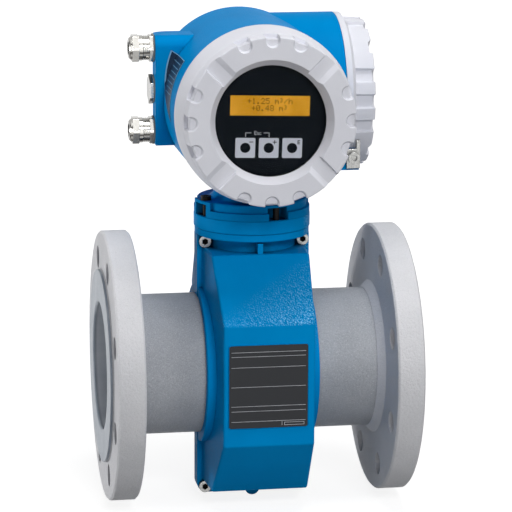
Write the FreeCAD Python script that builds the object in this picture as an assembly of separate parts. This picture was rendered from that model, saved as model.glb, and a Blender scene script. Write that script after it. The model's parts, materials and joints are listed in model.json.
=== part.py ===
"""Electromagnetic flow meter: flanged lined tube, die-cast sensor casing and swivelling field transmitter.

Units are millimetres. The origin is the centre of the measuring tube, +X runs along the flow,
-Y is the side of the display and +Z is up.
"""
import FreeCAD, Part
import math
import os

V = FreeCAD.Vector
X, Y, Z = V(1, 0, 0), V(0, 1, 0), V(0, 0, 1)
NEAR, FAR = -1, 1                # the display half (-Y) and the rear half (+Y) of a pair

# ---- clearances and fits ----
running_fit = 0.05               # radial play of a turning thread or spigot
face_gap = 0.3                   # air between faces of parts that turn against each other
seal_gap = 0.06                  # a seal lip from the face that it seals on

# ---- measuring tube, liner and flanges ----
bore = 104.0
liner_wall = 1.55
tube_wall = 3.6
face_to_face = 250.0
flare_od = 157.0
flare_thickness = 2.0
raised_od = 158.0
raised_height = 1.0
flange_od = 220.0
flange_thickness = 22.0
bolt_circle = 180.0
bolt_hole = 18.0
bolt_count = 8
weld_leg = 6.0
edge_chamfer = 1.5
lip_radius = 2.5                 # rounding of the liner's mouth

# ---- sensor casing: two die-cast half shells that meet at y = 0 ----
coil_room = 40.85                # from the tube up to the casing's deck
side_room = 32.85                # from the tube out to the front panel
shell_wall = 5.0
shell_half_split = 42.6          # half width along X at the parting plane
shell_half_front = 36.5          # half width at the front panel
slope_run = 45.0                 # depth of the slopes above and below the panel
slope_drop = 48.0                # height of the upper slope
slope_rise = 50.0                # height of the lower slope
shell_edge = 2.2
rim_thickness = 8.0              # parting rim of each half
rim_flange = 3.4                 # the rim stands out of the shells' sides by this much
rim_above_deck = 10.0
rim_below_floor = 11.0
rim_corner = 8.0
hub_wall = 7.85                  # cast hub around the tube
hub_inset = 0.5                  # the hub ends this far inside the rim's sides
gasket_inset = 1.5
screw_shank = 6.0
screw_head = 9.8
screw_head_height = 5.0
screw_inset = 6.0                # from the rim's side to the screw's axis
screw_above_deck = 4.98
nose_radius = 6.0
nose_drop = 4.0
plate_width = 62.8
plate_shift = -0.9               # the nameplate sits a little towards the inlet
plate_corner = 1.5
plate_height = 67.0
plate_thickness = 0.8

# ---- field coils and electrodes inside the casing ----
pole_thickness = 3.5
pole_half_x = 30.0
pole_half_angle = 42.0
core_radius = 11.0
coil_outer = 26.0
coil_height = 14.0
coil_gap = 1.0
yoke_thickness = 3.0
yoke_half_x = 16.0
electrode_radius = 2.4
bush_wall = 1.8
bush_collar = 3.0
bush_thickness = 4.0
nut_across = 8.0
nut_height = 4.0
electrode_reach = 19.0           # from the bore's wall to the electrode's outer end

# ---- collar between casing and transmitter ----
boss_inset = 4.5                 # from the casing screws' axes in to the boss
boss_rib = 4.4
cable_way = 16.0                 # radius of the way for the cables
wire_way = 6.0                   # radius of the way between the two bays
base_overhang = 0.5              # the seating ring's edge beyond the rim's sides
base_height = 6.0
ring_overhang = 0.7              # the swivel ring's edge beyond the seating ring
ring_height = 11.0
spigot_inset = 5.1               # from the collar screws' circle in to the spigot
spigot_seal = 2.4                # depth and width of the spigot's seal ring
spigot_seal_width = 3.0
collar_screw_inset = 9.6         # from the swivel bolts' circle in to the collar screws
collar_screw_shank = 4.0
collar_screw_head = 7.0
collar_screw_head_height = 2.8
swivel_inset = 5.4               # from the foot's edge in to the swivel bolts
swivel_shank = 5.0
swivel_head = 8.5
swivel_head_height = 3.5
slot_half = 2.75                 # half width of the ring's circular slot
slot_foot_half = 4.0             # half width of the wider foot of that slot
slot_depth = 4.0
slot_foot_depth = 5.0
nut_spread = 2 / 15              # a nut's half width for each length out from the axis
swivel_first = 18.5              # angle of the first swivel bolt
swivel_count = 4

# ---- transmitter housing ----
foot_inset = 0.2                 # the foot's edge inside the swivel ring's
foot_height = 5.8
step_inset = 2.5                 # from the foot's edge in to its step
step_height = 12.5
step_round = 1.2
lug_half_angle = 17.0
lug_count = 2                    # only the bolts at the sides have lugs out to the foot's edge
window_half_width = 8.7
window_height = 10.0
window_reach = 13.0              # how far in from the foot's edge the windows go
neck_inset = 16.0                # from the foot's edge in to the neck
neck_blend = 5.5                 # concave rounding under the neck
drum_radius = 70.0
drum_clearance = 17.8            # from the swivel face up to the display drum's skin
drum_front = 54.0                # shoulder under the display cover, in front of y = 0
drum_rear = 72.0
drum_rear_round = 30.0
drum_step = 5.7                  # from the drum's skin in to the display cover's thread
thread_length = 20.0
bay_wall = 4.3
bay_floor = 5.0                  # the electronics bay ends this far in front of y = 0
terminal_y = 59.0
terminal_radius = 66.0
terminal_reach = 7.0             # the terminal drum ends this far beyond the display drum's side
terminal_back = 42.0             # where the terminal drum ends on the gland side
terminal_round = 24.0
terminal_wall = 10.0
terminal_bay_back = 30.0
box_reach = 6.5                  # from the display drum's side out to the gland wall
box_near = 12.0
box_far = 45.0
box_drop, box_rise = 34.5, 54.2  # the box's floor and top from the drums' axis
box_round = 14.0
box_top_round = 9.0

# ---- display cover ----
cover_overhang = 0.8             # the cover's edge beyond the drum's skin
cover_depth = 43.2
cover_ring_inset = 3.5           # from the drum's skin in to the ring's front edge
cover_ring_taper = 0.8
cover_ring_length = 14.5
cover_skirt_flat = 9.0
cover_skirt_lip = 0.6            # the skirt's small end stands this far outside the ring
cover_skirt_start = 1.5          # and starts this far behind it
cover_edge = 1.0
window_radius = 43.7
window_bevel = 5.05
window_depth = 7.5
glass_lip = 0.8
glass_seat = 4.5                 # the glass reaches this far beyond the window's edge
glass_thickness = 5.0
retainer_wall = 3.4
retainer_height = 3.0
cover_wall = 6.3                 # from the cover's thread in to its cavity
seal_margin = 1.6                # from the cover's thread and the drum's skin to the seal
seal_depth = 2.0                 # depth of a cover seal's groove
notch_width = 11.5
notch_reach = 8.7
notch_depth = 2.4
notch_draft = 1.2                # slope of the notch walls, measured on the face
notch_step = 20.0
groove_width = 15.0
groove_depth = 3.0
groove_steep = 0.7               # width of the trough's steep wall
groove_slope = 4.3               # width of its sloping wall

# ---- display unit ----
fascia_play = 0.6                # from the retainer to the fascia's edge
fascia_thickness = 2.4
fascia_gap = 0.6
lcd_width = 62.6
lcd_height = 15.7
lcd_rise = 11.2                  # centre of the panel above the display's axis
key_size = 15.7
key_pitch = 18.5
key_drop = 22.0
key_radius = 4.0
key_corner = 1.2
inlay = 0.5                      # thickness of the panel, key fields and key windows
display_tilt = 1.65              # the unit sits turned clockwise by this angle, seen from the front
carrier_inset = 5.7              # from the fascia's edge in to the carrier
carrier_wall = 2.5
carrier_depth = 7.0
pivot_radius = 5.0
pivot_wall = 3.0

# ---- electronics ----
frame_plate = 3.0
frame_play = 6.0                 # from the bay's wall to the frame and the boards
post_radius = 3.0
post_inset = 7.0                 # from the frame's edge in to its posts
board_thickness = 1.6
board_pitch = 15.0
board_count = 3
components = ((-20, 14, 22, 16, 7),     # the largest blocks on each board: x and z from the
              (16, -6, 26, 12, 5),      # display's axis, width, height and rise
              (-8, -30, 34, 8, 6))

# ---- terminal cover and terminals ----
end_cover_flange_length = 5.0
end_cover_step = 8.0
end_cover_ring_inset = 4.2       # from the drum's skin in to the ring's rear edge
end_cover_ring_taper = 0.9
end_cover_length = 24.4
end_cover_corner = 1.2
end_cover_wall = 5.0
end_seal_inner_margin = 2.5      # from the terminal bay's wall out to the seal
end_seal_outer_margin = 3.5      # from the terminal drum's skin in to the seal
spigot_wall = 5.0
spigot_length = 13.0
carrier_x = 18.0
carrier_thickness = 4.0
strip_depth = 16.0
strip_width = 13.0
strip_length = 66.0
strip_pitch = 24.0
terminal_pitch = 8.0
terminal_count = 8
terminal_screw = 2.6

# ---- cover lock ----
lug_length = 12.0                # how far the lug runs beyond the terminal drum
lug_root = 12.0                  # how far it starts inside that drum
lug_setback = 9.0                # from the terminal drum's front to the lug's face
lug_depth = 16.0
lug_low, lug_high = 56.8, 38.8   # the lug's ends below the drums' axis
lock_drop = 45.8                 # the lock screw's axis below the drums' axis
lock_inset = 5.5                 # from the lug's end in to that axis
lock_reach = 9.0
clamp_thickness = 4.0
clamp_width = 11.0
clamp_low, claw_high = 54.8, 31.8
lug_gap = 0.7                    # from the cover's flange to the lug and the clamp

# ---- cable glands and blanking plug ----
gland_y = 27.0
gland_spacing = 67.0
gland_rise = 9.7                 # from the drums' axis up to the blanking plug
gland_thread = 9.0
gland_shank = 12.0
gland_hex = 21.0
gland_hex_length = 2.8
gland_neck = 9.4
gland_neck_length = 5.0
washer_thickness = 1.2
washer_radius = 11.6
cap_hex = 21.0
cap_length = 11.4
cap_wall = 2.2
cap_radius = 10.3                # round body of the cap
cap_band = 5.4                   # length of the hexagon band round the cap
cap_band_front = 2.5             # from the band to the cap's tip
cap_mouth = 7.6                  # radius of the flat round the cable hole
cable_hole = 5.0
insert_wall = 1.6
hex_rounding = 0.4               # how much of a gland hexagon's corners is turned off
rib_count = 3                    # ribs round the gland's neck
rib_pitch = 1.5
rib_width = 0.8
rib_height = 0.6
plug_hex = 21.0
plug_length = 3.0
plug_hole = 8.0

# ---- side label ----
label_from, label_to = 146.0, 188.0
label_near, label_far = 24.0, -11.5
label_thickness = 0.4
label_glue = 0.05                # adhesive under the label

# ---- values that follow from the sizes above ----
rim_half = shell_half_split + rim_flange
hub_half = rim_half - hub_inset
base_radius = rim_half + base_overhang
ring_radius = base_radius + ring_overhang
foot_radius = ring_radius - foot_inset
step_radius = foot_radius - step_inset
swivel_circle = foot_radius - swivel_inset
window_floor = foot_radius - window_reach
neck_radius = foot_radius - neck_inset
collar_screw_circle = swivel_circle - collar_screw_inset
spigot_radius = collar_screw_circle - spigot_inset
thread_radius = drum_radius - drum_step
cover_radius = drum_radius + cover_overhang
cover_ring_radius = drum_radius - cover_ring_inset
cover_ring_rear = cover_ring_radius + cover_ring_taper
cover_cavity = thread_radius - cover_wall
glass_radius = window_radius + glass_seat
fascia_radius = glass_radius - retainer_wall - fascia_play
carrier_radius = fascia_radius - carrier_inset
terminal_bay_radius = terminal_radius - terminal_wall
end_cover_ring_rear = terminal_radius - end_cover_ring_inset
end_cover_ring_front = end_cover_ring_rear - end_cover_ring_taper
bore_r = bore / 2
tube_inner = bore_r + liner_wall
tube_r = tube_inner + tube_wall
half_length = face_to_face / 2
raised_x = half_length - flare_thickness
plate_x = raised_x - raised_height
flange_back = plate_x - flange_thickness
deck = tube_r + coil_room
panel = tube_r + side_room
deck_y = panel - slope_run
panel_top = deck - slope_drop
panel_low = -deck + slope_rise
seat = deck + rim_above_deck
rim_low = -deck - rim_below_floor
hub_r = tube_r + hub_wall
screw_x = rim_half - screw_inset
screw_z = deck + screw_above_deck
boss_radius = screw_x - boss_inset
base_top = seat + base_height
axis_height = drum_radius + drum_clearance
foot = base_top + ring_height
axis_z = foot + axis_height
slot_floor = foot - slot_depth - slot_foot_depth
spigot_depth = ring_height - face_gap
spigot_seal_z = foot - (spigot_depth + spigot_seal_width) / 2
lug_top = foot + step_height
window_top = foot + window_height
bay_radius = thread_radius - bay_wall
frame_radius = bay_radius - frame_play
post_circle = frame_radius - post_inset
rim_y = -drum_front
thread_y = rim_y - thread_length
cover_rear = rim_y - face_gap
cover_front = cover_rear - cover_depth
ring_rear = cover_front + cover_ring_length
window_y = cover_front + window_depth
glass_front = window_y + glass_lip
glass_rear = glass_front + glass_thickness
retainer_rear = glass_rear + retainer_height
fascia_front = glass_rear + fascia_gap
fascia_rear = fascia_front + fascia_thickness
carrier_rear = fascia_rear + carrier_depth
frame_front = carrier_rear + face_gap
terminal_end = drum_radius + terminal_reach
end_rear = terminal_end + face_gap
end_front = end_rear + end_cover_length
end_ring_rear = end_rear + end_cover_step
strip_x = carrier_x + carrier_thickness
lug_face = terminal_y - terminal_radius + lug_setback
lug_back = lug_face + lug_depth
lug_end = terminal_end + lug_length
lock_z = axis_z - lock_drop
lock_x = lug_end - lock_inset
clamp_face = lug_face - clamp_thickness
box_end = drum_radius + box_reach
box_low = axis_z - box_drop
box_high = axis_z + box_rise
gland_mid = axis_z + gland_rise
gland_z = (gland_mid - gland_spacing / 2, gland_mid + gland_spacing / 2)
DISPLAY = V(0, 0, axis_z)
TERMINAL = V(0, terminal_y, axis_z)


# ---- small geometry helpers ----
def cylinder(radius, start, axis, length):
    return Part.makeCylinder(radius, length, start, axis)


def tube(inner, outer, start, axis, length):
    return cylinder(outer, start, axis, length).cut(cylinder(inner, start, axis, length))


def block(x0, x1, y0, y1, z0, z1):
    return Part.makeBox(x1 - x0, y1 - y0, z1 - z0, V(x0, y0, z0))


def fuse(shapes):
    first, rest = shapes[0], shapes[1:]
    return first.multiFuse(rest).removeSplitter() if rest else first


def prism(points, travel):
    """Extrude the closed outline through the points along the vector travel."""
    return Part.Face(Part.makePolygon(list(points) + [points[0]])).extrude(travel)


def turned(profile, centre, axis):
    """Revolve a closed (radius, station) outline about the axis; stations run along the axis."""
    side = X if abs(axis.x) < 0.5 else Z
    points = [centre + side * r + axis * s for r, s in profile]
    face = Part.Face(Part.makePolygon(points + [points[0]]))
    return face.revolve(centre, axis, 360)


def spun(shape, centre, axis, angle):
    copy = shape.copy()
    copy.rotate(centre, axis, angle)
    return copy


def ring_of(shape, centre, axis, count, first=0.0):
    return [spun(shape, centre, axis, first + i * 360.0 / count) for i in range(count)]


def hexagon(across, start, axis, length, turn=0.0):
    radius = across / math.sqrt(3)
    side = Z if abs(axis.z) < 0.5 else X
    corner = start + side * radius
    points = [spun(Part.Vertex(corner), start, axis, turn + 60 * i).Point for i in range(6)]
    return prism(points, axis * length)


def socket_screw(shank_d, head_d, head_h, seat_point, axis, length):
    """Socket-head screw with its head standing on seat_point and its shank running along axis."""
    head = cylinder(head_d / 2, seat_point - axis * head_h, axis, head_h)
    key = hexagon(head_d * 0.46, seat_point - axis * head_h, axis, head_h * 0.6)
    return head.fuse(cylinder(shank_d / 2, seat_point, axis, length)).removeSplitter().cut(key)


def rounded(shape, radius, keep):
    """Fillet the edges that the function keep picks."""
    edges = [edge for edge in shape.Edges if keep(edge)]
    return shape.makeFillet(radius, edges) if edges else shape


# ---- measuring tube, liner, flanges ----
def measuring_tube():
    body = tube(tube_inner, tube_r, V(-raised_x, 0, 0), X, 2 * raised_x)
    for side in (NEAR, FAR):
        hole = cylinder(electrode_radius + bush_wall, V(0, 0, 0), Y * side, tube_r + 1)
        body = body.cut(hole)
    return body


def liner():
    """Lining sleeve whose ends are flared over both raised faces, with rounded mouths."""
    profile = [(bore_r, -half_length), (flare_od / 2, -half_length), (flare_od / 2, -raised_x),
               (tube_inner, -raised_x), (tube_inner, raised_x), (flare_od / 2, raised_x),
               (flare_od / 2, half_length), (bore_r, half_length)]
    body = turned(profile, V(0, 0, 0), X)
    body = rounded(body, min(lip_radius, flare_thickness * 0.9), at_liner_mouth)
    for side in (NEAR, FAR):
        body = body.cut(cylinder(electrode_radius, V(0, 0, 0), Y * side, tube_r))
    return body


def at_liner_mouth(edge):
    box = edge.BoundBox
    return box.XLength < 1e-3 and abs(abs(box.XMin) - half_length) < 1e-3 \
        and abs(box.ZLength - bore) < 1e-2


def flange(side):
    """Welded plate flange with raised face, chamfered rim and the weld at its back."""
    c = edge_chamfer
    r = flange_od / 2
    profile = [(tube_r, flange_back), (r - c, flange_back), (r, flange_back + c), (r, plate_x - c),
               (r - c, plate_x), (raised_od / 2, plate_x), (raised_od / 2, raised_x),
               (tube_r, raised_x)]
    plate = turned(profile, V(0, 0, 0), X * side)
    weld = turned([(tube_r, flange_back), (tube_r, flange_back - weld_leg),
                   (tube_r + weld_leg, flange_back)], V(0, 0, 0), X * side)
    hole = cylinder(bolt_hole / 2, V(side * (flange_back - 1), 0, bolt_circle / 2), X * side,
                    flange_thickness + 2)
    holes = ring_of(hole, V(0, 0, 0), X, bolt_count, 180.0 / bolt_count)
    return plate.fuse(weld).removeSplitter().cut(Part.Compound(holes))


# ---- sensor casing ----
def casing_outline(inset, side):
    """Upright octagonal outline of one half shell, drawn in the YZ plane."""
    bevel_up = math.atan2(slope_drop, slope_run)
    bevel_low = math.atan2(slope_rise, slope_run)
    top, low, front = deck - inset, -deck + inset, panel - inset
    up = panel_top - inset * math.tan((math.pi / 2 - bevel_up) / 2)
    down = panel_low + inset * math.tan((math.pi / 2 - bevel_low) / 2)
    run_up = (top - up) / math.tan(bevel_up)
    run_low = (down - low) / math.tan(bevel_low)
    corners = [(0, low), (front - run_low, low), (front, down), (front, up),
               (front - run_up, top), (0, top)]
    return [V(0, side * y, z) for y, z in corners]


def shell_block(inset, side):
    """The half shell's tapered block: the outline along X, trimmed by the drafted side walls."""
    wide = 2 * shell_half_split
    upright = prism([p - X * wide for p in casing_outline(inset, side)], X * 2 * wide)
    front, split = shell_half_front - inset, shell_half_split - inset
    plan = [V(-split, 0, 0), V(-front, side * panel, 0), V(front, side * panel, 0), V(split, 0, 0)]
    tall = 2 * deck
    return upright.common(prism([p - Z * tall for p in plan], Z * 2 * tall))


def casing_half(side):
    """One half of the die-cast casing: tapered shell, parting rim, tube hub and collar boss."""
    body = rounded(shell_block(0, side), shell_edge,
                   lambda edge: edge.BoundBox.YMin > 1 or edge.BoundBox.YMax < -1
                   or edge.BoundBox.YLength > 1)
    y0, y1 = sorted((0, side * rim_thickness))
    rim = block(-rim_half, rim_half, y0, y1, rim_low, seat)
    rim = rounded(rim, rim_corner, lambda edge: edge.BoundBox.YLength > 1
                  and edge.BoundBox.ZMax < 0)
    half_space = block(-200, 200, *sorted((0, side * 300)), -300, 300)
    hub = cylinder(hub_r, V(-hub_half, 0, 0), X, 2 * hub_half)
    hub = hub.makeFillet(shell_edge / 2, [e for e in hub.Edges if e.BoundBox.XLength < 1e-3])
    boss = cylinder(boss_radius, V(0, 0, deck - shell_wall), Z, rim_above_deck + shell_wall)
    round_parts = fuse([hub.common(half_space), boss.common(half_space)])
    rib = block(-boss_rib / 2, boss_rib / 2, *sorted((side * boss_radius * 0.9, side * (deck_y - 1))),
                deck - 1, seat - 1.5)
    body = fuse([body, rim, round_parts, rib])
    if side == NEAR:
        nose = cylinder(nose_radius, V(0, 0, rim_low + nose_radius - nose_drop), Y * side,
                        rim_thickness)
        body = fuse([body, nose])
    hollow = shell_block(shell_wall, side)
    ways = [hollow, cylinder(tube_r, V(-rim_half, 0, 0), X, 2 * rim_half),
            cylinder(cable_way, V(0, 0, 0), Z, seat + 1)]
    for x in (-screw_x, screw_x):
        for z in (-screw_z, screw_z):
            ways.append(cylinder(screw_shank / 2, V(x, 0, z), Y * side, rim_thickness))
    for angle in collar_angles():
        ways.append(cylinder(collar_screw_shank / 2, collar_point(angle, seat), -Z,
                             collar_screw_reach()))
    body = body.cut(Part.Compound(ways))
    recess = gasket_band(side * gasket_inset, 0.5)
    return body.cut(recess)


def gasket_band(depth, play):
    """Frame-shaped band around the casing's cavity at the parting plane."""
    y0, y1 = sorted((0, depth))
    outer = block(-shell_half_split, shell_half_split, y0, y1, -deck, deck)
    inner = block(-shell_half_split + shell_wall / 2, shell_half_split - shell_wall / 2, y0, y1,
                  -deck + shell_wall / 2, deck - shell_wall / 2)
    clear = cylinder(hub_r - play, V(-2 * shell_half_split, 0, 0), X, 4 * shell_half_split)
    top = cylinder(boss_radius, V(0, 0, 0), Z, 2 * deck)
    return outer.cut(inner).cut(clear).cut(top)


def casing_gasket():
    band = gasket_band(gasket_inset, 0.5).fuse(gasket_band(-gasket_inset, 0.5))
    return band.removeSplitter()


def casing_screws():
    length = 2 * rim_thickness - 1
    screws = []
    for x in (-screw_x, screw_x):
        for z in (-screw_z, screw_z):
            screws.append(socket_screw(screw_shank, screw_head, screw_head_height,
                                       V(x, -rim_thickness, z), Y, length))
    return Part.Compound(screws)


def nameplate():
    middle = (panel_top + panel_low) / 2
    plate = block(plate_shift - plate_width / 2, plate_shift + plate_width / 2,
                  -panel - plate_thickness, -panel, middle - plate_height / 2,
                  middle + plate_height / 2)
    return rounded(plate, plate_corner, lambda edge: edge.BoundBox.YLength > plate_thickness / 2)


# ---- field system ----
def pole_shoes():
    """Two curved plates that hug the tube above and below."""
    shoes = []
    for side in (1, -1):
        ring = tube(tube_r, tube_r + pole_thickness, V(-pole_half_x, 0, 0), X, 2 * pole_half_x)
        reach = 2 * tube_r
        half = math.tan(math.radians(pole_half_angle)) * reach
        wedge = prism([V(-reach, 0, 0), V(-reach, half, side * reach), V(-reach, -half, side * reach)],
                      X * 2 * reach)
        shoes.append(ring.common(wedge))
    return Part.Compound(shoes)


def yoke_inner():
    coil_top = tube_r + pole_thickness + coil_gap + coil_height
    return math.hypot(coil_outer, coil_top) + coil_gap / 2


def coil(side):
    start = V(0, 0, side * (tube_r + pole_thickness + coil_gap))
    ring = tube(core_radius, coil_outer, start, Z * side, coil_height)
    return ring.makeFillet(2.0, [e for e in ring.Edges if e.BoundBox.ZLength < 1e-3
                                 and e.BoundBox.XLength > 2 * coil_outer - 1])


def coil_cores():
    cores = []
    shoe = cylinder(tube_r + pole_thickness, V(-coil_outer, 0, 0), X, 2 * coil_outer)
    inside = cylinder(yoke_inner(), V(-coil_outer, 0, 0), X, 2 * coil_outer)
    for side in (1, -1):
        core = cylinder(core_radius, V(0, 0, 0), Z * side, 2 * yoke_inner())
        cores.append(core.cut(shoe).common(inside))
    return Part.Compound(cores)


def return_yoke():
    """Closed sheet-metal band around both coils that carries the flux back."""
    return tube(yoke_inner(), yoke_inner() + yoke_thickness, V(-yoke_half_x, 0, 0), X,
                2 * yoke_half_x)


# ---- electrodes ----
def electrodes():
    pins = [cylinder(electrode_radius, V(0, side * bore_r, 0), Y * side, electrode_reach)
            for side in (NEAR, FAR)]
    return Part.Compound(pins)


def electrode_bushes():
    """Insulating bushes through the tube wall, each with a collar outside."""
    bushes = []
    for side in (NEAR, FAR):
        sleeve = cylinder(electrode_radius + bush_wall, V(0, 0, 0), Y * side, tube_r + bush_thickness)
        collar = cylinder(electrode_radius + bush_wall + bush_collar, V(0, 0, 0), Y * side,
                          tube_r + bush_thickness)
        collar = collar.cut(cylinder(tube_r, V(-rim_half, 0, 0), X, 2 * rim_half))
        inner = cylinder(tube_inner, V(-rim_half, 0, 0), X, 2 * rim_half)
        bush = fuse([sleeve.cut(inner), collar])
        bushes.append(bush.cut(cylinder(electrode_radius, V(0, 0, 0), Y * side, 2 * tube_r)))
    return Part.Compound(bushes)


def electrode_nuts():
    nuts = []
    for side in (NEAR, FAR):
        start = V(0, side * (tube_r + bush_thickness), 0)
        nut = hexagon(nut_across, start, Y * side, nut_height)
        nuts.append(nut.cut(cylinder(electrode_radius, start, Y * side, nut_height)))
    return Part.Compound(nuts)


# ---- collar ----
def collar_angles():
    return [45 + 90 * i for i in range(4)]


def collar_point(angle, z, radius=collar_screw_circle):
    a = math.radians(angle)
    return V(radius * math.cos(a), radius * math.sin(a), z)


def collar_screw_reach():
    return rim_above_deck - 1.0


def collar_base():
    """Thin seating ring between the casing's boss and the swivel ring."""
    ring = tube(cable_way, base_radius, V(0, 0, seat), Z, base_height)
    holes = [cylinder(collar_screw_shank / 2, collar_point(a, seat), Z, base_height)
             for a in collar_angles()]
    ring = ring.cut(Part.Compound(holes))
    return ring.makeChamfer(0.6, [e for e in ring.Edges
                                  if e.BoundBox.XLength > 2 * base_radius - 1])


def collar_ring():
    """Swivel ring: bore for the spigot, seat for the screws and a circular T-slot for the bolts."""
    ring = tube(spigot_radius + running_fit, ring_radius, V(0, 0, base_top), Z, ring_height)
    outer = [e for e in ring.Edges if e.BoundBox.XLength > 2 * ring_radius - 1]
    ring = ring.makeChamfer(0.6, outer)
    slot = tube(swivel_circle - slot_half, swivel_circle + slot_half, V(0, 0, foot - slot_depth), Z,
                slot_depth)
    slot_foot = tube(swivel_circle - slot_foot_half, swivel_circle + slot_foot_half,
                     V(0, 0, slot_floor), Z, slot_foot_depth)
    pockets = []
    for angle in collar_angles():
        pockets.append(cylinder(collar_screw_shank / 2, collar_point(angle, base_top), Z, ring_height))
        pockets.append(cylinder(collar_screw_head / 2, collar_point(angle, screw_seat()), Z,
                                ring_height))
    return ring.cut(Part.Compound([slot])).cut(slot_foot).cut(Part.Compound(pockets))


def screw_seat():
    return foot - collar_screw_head_height - 0.5


def collar_screws():
    length = screw_seat() - seat + collar_screw_reach() - 1.0
    return Part.Compound([socket_screw(collar_screw_shank, collar_screw_head,
                                       collar_screw_head_height, collar_point(a, screw_seat()),
                                       -Z, length) for a in collar_angles()])


# ---- swivel bolts ----
def swivel_angles():
    return [swivel_first + i * 360.0 / swivel_count for i in range(swivel_count)]


def swivel_bolts():
    """Bolts that stand in the foot's windows and clamp it to the ring's T-slot."""
    bolts = []
    for angle in swivel_angles():
        head_seat = collar_point(angle, lug_top, swivel_circle)
        length = lug_top - slot_floor - 1.0
        bolts.append(socket_screw(swivel_shank, swivel_head, swivel_head_height, head_seat, -Z,
                                  length))
    return Part.Compound(bolts)


def swivel_nuts():
    """Curved sliding nuts in the foot of the T-slot."""
    play = face_gap
    ring = tube(swivel_circle - slot_foot_half + play, swivel_circle + slot_foot_half - play,
                V(0, 0, slot_floor + play), Z, slot_foot_depth - 2 * play)
    reach = 2 * swivel_circle
    half = reach * nut_spread
    wedge = prism([V(0, 0, 0), V(reach, -half, 0), V(reach, half, 0)], Z * (2 * foot))
    nuts = []
    for angle in swivel_angles():
        nut = ring.common(spun(wedge, V(0, 0, 0), Z, angle))
        nuts.append(nut.cut(cylinder(swivel_shank / 2, collar_point(angle, 0, swivel_circle), Z,
                                     2 * foot)))
    return Part.Compound(nuts)


def swivel_seal():
    return tube(spigot_radius - spigot_seal, spigot_radius, V(0, 0, spigot_seal_z), Z,
                spigot_seal_width)


# ---- transmitter housing ----
def foot_turning():
    """Spigot, low disc, rounded step and neck, as one turned form."""
    disc_top, step_top = foot + foot_height, foot + step_height
    neck_top = foot + axis_height - bay_radius + 2
    arc = step_round * math.sqrt(0.5)
    blend = neck_radius + neck_blend
    corner = V(step_radius - step_round, 0, step_top - step_round)
    bend = V(blend, 0, step_top + neck_blend)
    points = [V(0, 0, foot - spigot_depth), V(spigot_radius, 0, foot - spigot_depth),
              V(spigot_radius, 0, foot), V(foot_radius, 0, foot), V(foot_radius, 0, disc_top),
              V(step_radius, 0, disc_top), V(step_radius, 0, step_top - step_round)]
    edges = [Part.makeLine(a, b) for a, b in zip(points, points[1:])]
    edges.append(Part.Arc(points[-1], corner + V(arc, 0, arc),
                          V(step_radius - step_round, 0, step_top)).toShape())
    edges.append(Part.makeLine(V(step_radius - step_round, 0, step_top), V(blend, 0, step_top)))
    inward = neck_blend * math.sqrt(0.5)
    edges.append(Part.Arc(V(blend, 0, step_top), bend - V(inward, 0, inward),
                          V(neck_radius, 0, step_top + neck_blend)).toShape())
    last = [V(neck_radius, 0, step_top + neck_blend), V(neck_radius, 0, neck_top),
            V(0, 0, neck_top), points[0]]
    edges += [Part.makeLine(a, b) for a, b in zip(last, last[1:])]
    return Part.Face(Part.Wire(edges)).revolve(V(0, 0, 0), Z, 360)


def housing_foot():
    """Stepped foot with spigot and neck, side lugs and a window at each swivel bolt."""
    half = math.tan(math.radians(lug_half_angle)) * 2 * foot_radius
    wedge = prism([V(0, 0, foot), V(2 * foot_radius, -half, foot), V(2 * foot_radius, half, foot)],
                  Z * step_height)
    lug = wedge.common(cylinder(foot_radius, V(0, 0, foot), Z, step_height))
    lugs = [spun(lug, V(0, 0, 0), Z, swivel_first + i * 360.0 / lug_count)
            for i in range(lug_count)]
    body = fuse([foot_turning()] + lugs)
    window = block(window_floor, 2 * foot_radius, -window_half_width, window_half_width,
                   foot, window_top)
    shank_way = cylinder(swivel_shank / 2, V(swivel_circle, 0, foot), Z, step_height)
    cuts = []
    for angle in swivel_angles():
        cuts.append(spun(window, V(0, 0, 0), Z, angle))
        cuts.append(spun(shank_way, V(0, 0, 0), Z, angle))
    groove = tube(spigot_radius - spigot_seal, 2 * spigot_radius, V(0, 0, spigot_seal_z), Z,
                  spigot_seal_width)
    return body.cut(Part.Compound(cuts)).cut(groove)


def display_drum():
    """Front drum with the threaded collar for the display cover and a domed rear."""
    r = drum_rear_round
    outline = Part.Wire([
        Part.makeLine(V(0, thread_y, axis_z), V(thread_radius, thread_y, axis_z)),
        Part.makeLine(V(thread_radius, thread_y, axis_z), V(thread_radius, rim_y, axis_z)),
        Part.makeLine(V(thread_radius, rim_y, axis_z), V(drum_radius, rim_y, axis_z)),
        Part.makeLine(V(drum_radius, rim_y, axis_z), V(drum_radius, drum_rear, axis_z)),
        Part.Arc(V(drum_radius, drum_rear, axis_z),
                 V(drum_radius - r + r * math.sqrt(0.5), drum_rear + r * math.sqrt(0.5), axis_z),
                 V(drum_radius - r, drum_rear + r, axis_z)).toShape(),
        Part.makeLine(V(drum_radius - r, drum_rear + r, axis_z), V(0, drum_rear + r, axis_z)),
        Part.makeLine(V(0, drum_rear + r, axis_z), V(0, thread_y, axis_z))])
    return Part.Face(outline).revolve(DISPLAY, Y, 360)


def terminal_drum():
    drum = cylinder(terminal_radius, V(-terminal_back, terminal_y, axis_z), X,
                    terminal_end + terminal_back)
    return drum.makeFillet(terminal_round, [e for e in drum.Edges
                                            if abs(e.BoundBox.XMax + terminal_back) < 1e-3])


def gland_box():
    """Flat-walled box on the gland side; its wall carries the cable entries."""
    body = block(-box_end, -terminal_bay_back + 10, box_near, box_far, box_low, box_high)
    body = rounded(body, box_round, lambda e: e.BoundBox.ZLength > 1 and e.BoundBox.YMin > box_near
                   and e.BoundBox.XMax < -terminal_back)
    return rounded(body, box_top_round, lambda e: e.BoundBox.XLength > 1
                   and e.BoundBox.YMax < box_near + 1e-3 and e.BoundBox.ZMin > box_high - 1e-3)


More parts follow.
